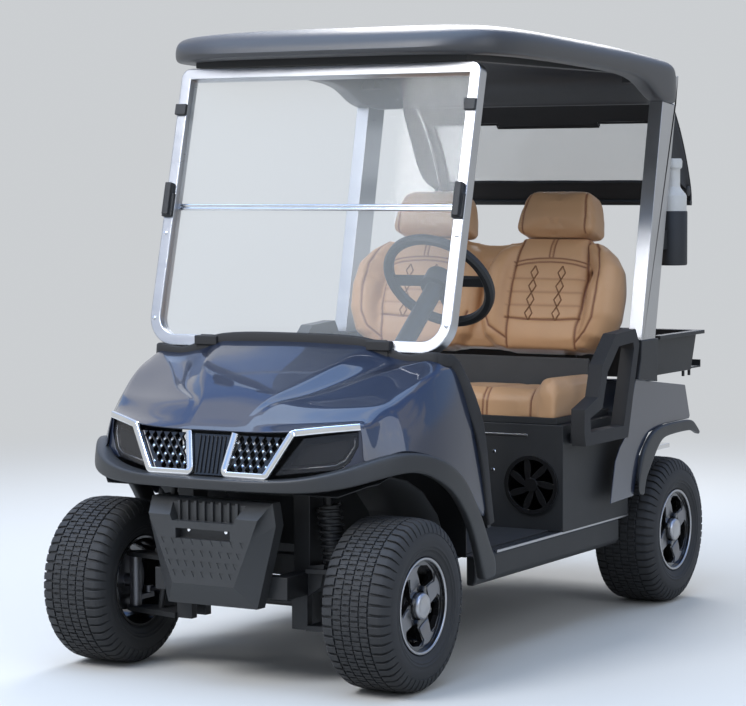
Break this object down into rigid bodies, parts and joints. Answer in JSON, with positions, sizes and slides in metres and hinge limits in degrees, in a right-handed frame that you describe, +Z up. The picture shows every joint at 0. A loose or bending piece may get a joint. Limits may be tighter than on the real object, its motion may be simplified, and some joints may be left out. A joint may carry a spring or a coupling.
{
  "type": "golf cart",
  "caption": "Two-seat electric golf cart with a roof, folding-style windshield, hip restraints, rear basket, bag deck and rain hood.",
  "frame": {"origin": "on the ground, under the middle of the length and width", "axes": "+X forward, +Y to the driver's left, +Z up"},
  "size_m": [2.407, 1.137, 1.7849],
  "materials": {
    "body_paint": "metallic gloss",
    "roof_moulding": "satin charcoal",
    "black_moulding": "fine grained",
    "black_metal": "powder coated",
    "grey_metal": "plain",
    "silver_tube": "anodised",
    "bright_trim": "polished",
    "lamp_lens": "smoked",
    "mesh_black": "gloss",
    "pane": "clear",
    "tan_leather": "stitched",
    "tyre_rubber": "treaded",
    "wheel_black": "gloss with machined faces",
    "hood_fabric": "coated",
    "floor_mat": "ribbed",
    "bottle_plastic": "plain"
  },
  "bodies": {
    "chassis": {"arch_liners": "black_moulding", "armrests": "black_moulding", "bag_cradle": "bright_trim", "bag_hood": "hood_fabric", "bag_platform": "black_moulding", "basket": "black_moulding", "battery_pack": "black_metal", "chassis_frame": "black_metal", "dashboard": "black_moulding", "floor": "black_moulding", "floor_mat": "floor_mat", "front_bumper": "black_moulding", "front_cowl": "body_paint", "front_suspension": "grey_metal", "grille": "mesh_black", "grille_trim": "bright_trim", "lamps": "lamp_lens", "lower_front_panel": "black_moulding", "pedals": "black_metal", "pillar_trims": "black_moulding", "pod_vents": "black_moulding", "rear_axle": "black_metal", "rear_body": "body_paint", "rear_flares": "black_moulding", "rear_struts": "silver_tube", "roof": "roof_moulding", "roof_frame": "black_metal", "sand_bottle": "bottle_plastic", "seat_back": "tan_leather", "seat_back_frame": "black_metal", "seat_back_panel": "black_moulding", "seat_pod": "black_moulding", "side_sills": "black_moulding", "steering_column": "black_metal", "strut_shoes": "black_moulding", "windshield_bar": "silver_tube", "windshield_fittings": "black_moulding", "windshield_frame": "silver_tube", "windshield_lower": "pane", "windshield_upper": "pane"},
    "knuckle_left": {"knuckle_left": "black_metal"},
    "knuckle_right": {"knuckle_right": "black_metal"},
    "tie_rod": {"tie_rod": "grey_metal"},
    "steering_wheel": {"steering_wheel": "black_moulding"},
    "seat_cushion": {"seat_cushion": "tan_leather"},
    "wheel_front_left": {"tyre_front_left": "tyre_rubber", "rim_front_left": "wheel_black"},
    "wheel_front_right": {"tyre_front_right": "tyre_rubber", "rim_front_right": "wheel_black"},
    "wheel_rear_left": {"tyre_rear_left": "tyre_rubber", "rim_rear_left": "wheel_black"},
    "wheel_rear_right": {"tyre_rear_right": "tyre_rubber", "rim_rear_right": "wheel_black"}
  },
  "joints": [
    {"name": "left_steer", "type": "hinge", "parent": "chassis", "child": "knuckle_left", "pos_m": [0.9585, 0.38, 0.2295], "axis": [0, 0, 1], "range_deg": [-30, 30]},
    {"name": "right_steer", "type": "hinge", "parent": "chassis", "child": "knuckle_right", "pos_m": [0.9585, -0.38, 0.2295], "axis": [0, 0, 1], "range_deg": [-30, 30]},
    {"name": "rack_slide", "type": "slide", "parent": "chassis", "child": "tie_rod", "axis": [0, 1, 0], "range_m": [-0.033, 0.033]},
    {"name": "steering_turn", "type": "hinge", "parent": "chassis", "child": "steering_wheel", "pos_m": [0.2985, 0.226, 1.05], "axis": [-0.7771, 0, 0.6293], "range_deg": [-450, 450]},
    {"name": "cushion_lid", "type": "hinge", "parent": "chassis", "child": "seat_cushion", "pos_m": [-0.3535, 0, 0.705], "axis": [0, -1, 0], "range_deg": [0, 60]},
    {"name": "front_left_roll", "type": "hinge", "parent": "knuckle_left", "child": "wheel_front_left", "pos_m": [0.9585, 0.4448, 0.2295], "axis": [0, 1, 0], "continuous": true},
    {"name": "front_right_roll", "type": "hinge", "parent": "knuckle_right", "child": "wheel_front_right", "pos_m": [0.9585, -0.4448, 0.2295], "axis": [0, 1, 0], "continuous": true},
    {"name": "rear_left_roll", "type": "hinge", "parent": "chassis", "child": "wheel_rear_left", "pos_m": [-0.7035, 0.4448, 0.2295], "axis": [0, 1, 0], "continuous": true},
    {"name": "rear_right_roll", "type": "hinge", "parent": "chassis", "child": "wheel_rear_right", "pos_m": [-0.7035, -0.4448, 0.2295], "axis": [0, 1, 0], "continuous": true}
  ],
  "couplings": [
    {"joint": "right_steer", "follows": "left_steer", "ratio": 1},
    {"joint": "rack_slide", "follows": "left_steer", "m_per_rad": -0.062},
    {"joint": "steering_turn", "follows": "left_steer", "ratio": 15}
  ]
}
